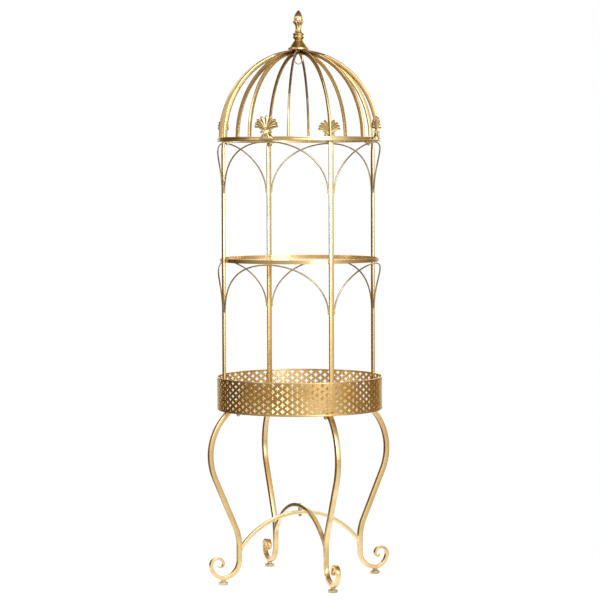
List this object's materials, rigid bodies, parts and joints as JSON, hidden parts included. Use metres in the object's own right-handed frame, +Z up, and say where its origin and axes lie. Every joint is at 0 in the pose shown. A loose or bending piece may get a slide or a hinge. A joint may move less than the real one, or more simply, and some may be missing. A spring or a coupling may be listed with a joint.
{
  "type": "dome plant stand",
  "caption": "Free-standing round metal plant stand: scrolled legs, pierced tray, shelf and ribbed dome top.",
  "frame": {"origin": "on the floor, under the middle of the stand", "axes": "+Z up along the stand's axis; legs and posts stand on the diagonals, so the wire arches and the palmettes face +X, -X, +Y and -Y; the front is -Y"},
  "size_m": [0.4414, 0.4414, 1.496],
  "materials": {
    "gold_paint": "metallic gold paint on iron, semi-gloss, a little rubbed",
    "aged_gold_paint": "metallic gold paint on iron with darker, browner patches",
    "bright_gold_paint": "bright metallic gold paint on iron",
    "zinc_steel": "zinc-plated steel, dull"
  },
  "bodies": {
    "stand": {"leg_front_left": "gold_paint", "post_front_left": "gold_paint", "leg_front_right": "gold_paint", "post_front_right": "gold_paint", "leg_back_left": "gold_paint", "post_back_left": "gold_paint", "leg_back_right": "gold_paint", "post_back_right": "gold_paint", "arch_upper_front": "gold_paint", "arch_lower_front": "gold_paint", "palmette_front": "bright_gold_paint", "arch_upper_back": "gold_paint", "arch_lower_back": "gold_paint", "palmette_back": "bright_gold_paint", "arch_upper_left": "gold_paint", "arch_lower_left": "gold_paint", "palmette_left": "bright_gold_paint", "arch_upper_right": "gold_paint", "arch_lower_right": "gold_paint", "palmette_right": "bright_gold_paint", "dome_rib_01": "gold_paint", "dome_rib_02": "gold_paint", "dome_rib_03": "gold_paint", "dome_rib_04": "gold_paint", "dome_rib_05": "gold_paint", "dome_rib_06": "gold_paint", "dome_rib_07": "gold_paint", "dome_rib_08": "gold_paint", "dome_rib_09": "gold_paint", "dome_rib_10": "gold_paint", "dome_rib_11": "gold_paint", "dome_rib_12": "gold_paint", "leg_plates": "aged_gold_paint", "stretcher_lower": "aged_gold_paint", "stretcher_upper": "aged_gold_paint", "stretcher_bolt": "bright_gold_paint", "stretcher_spacer": "bright_gold_paint", "stretcher_nut": "zinc_steel", "tray_floor": "aged_gold_paint", "tray_band": "gold_paint", "tray_rim": "bright_gold_paint", "tray_bolts": "zinc_steel", "tray_cap_nuts": "bright_gold_paint", "shelf_ring": "gold_paint", "shelf_sheet": "bright_gold_paint", "shelf_screws": "zinc_steel", "dome_ring": "gold_paint", "dome_studs": "zinc_steel", "dome_nuts": "bright_gold_paint", "palmette_screws": "zinc_steel", "crown_plate": "gold_paint", "crown_cap": "aged_gold_paint", "finial": "gold_paint", "eye_bolt": "zinc_steel"},
    "hanging_ring": {"hanging_ring": "bright_gold_paint"},
    "glide_front_left": {"foot_glide_front_left": "aged_gold_paint"},
    "glide_front_right": {"foot_glide_front_right": "aged_gold_paint"},
    "glide_back_left": {"foot_glide_back_left": "aged_gold_paint"},
    "glide_back_right": {"foot_glide_back_right": "aged_gold_paint"}
  },
  "joints": [
    {"name": "hanging_ring_swing", "type": "hinge", "parent": "stand", "child": "hanging_ring", "pos_m": [0, 0, 1.3845], "axis": [1, 0, 0], "range_deg": [-38, 38]},
    {"name": "glide_front_left_screw_out", "type": "slide", "parent": "stand", "child": "glide_front_left", "axis": [0, 0, -1], "range_m": [0, 0.006]},
    {"name": "glide_front_right_screw_out", "type": "slide", "parent": "stand", "child": "glide_front_right", "axis": [0, 0, -1], "range_m": [0, 0.006]},
    {"name": "glide_back_left_screw_out", "type": "slide", "parent": "stand", "child": "glide_back_left", "axis": [0, 0, -1], "range_m": [0, 0.006]},
    {"name": "glide_back_right_screw_out", "type": "slide", "parent": "stand", "child": "glide_back_right", "axis": [0, 0, -1], "range_m": [0, 0.006]}
  ]
}
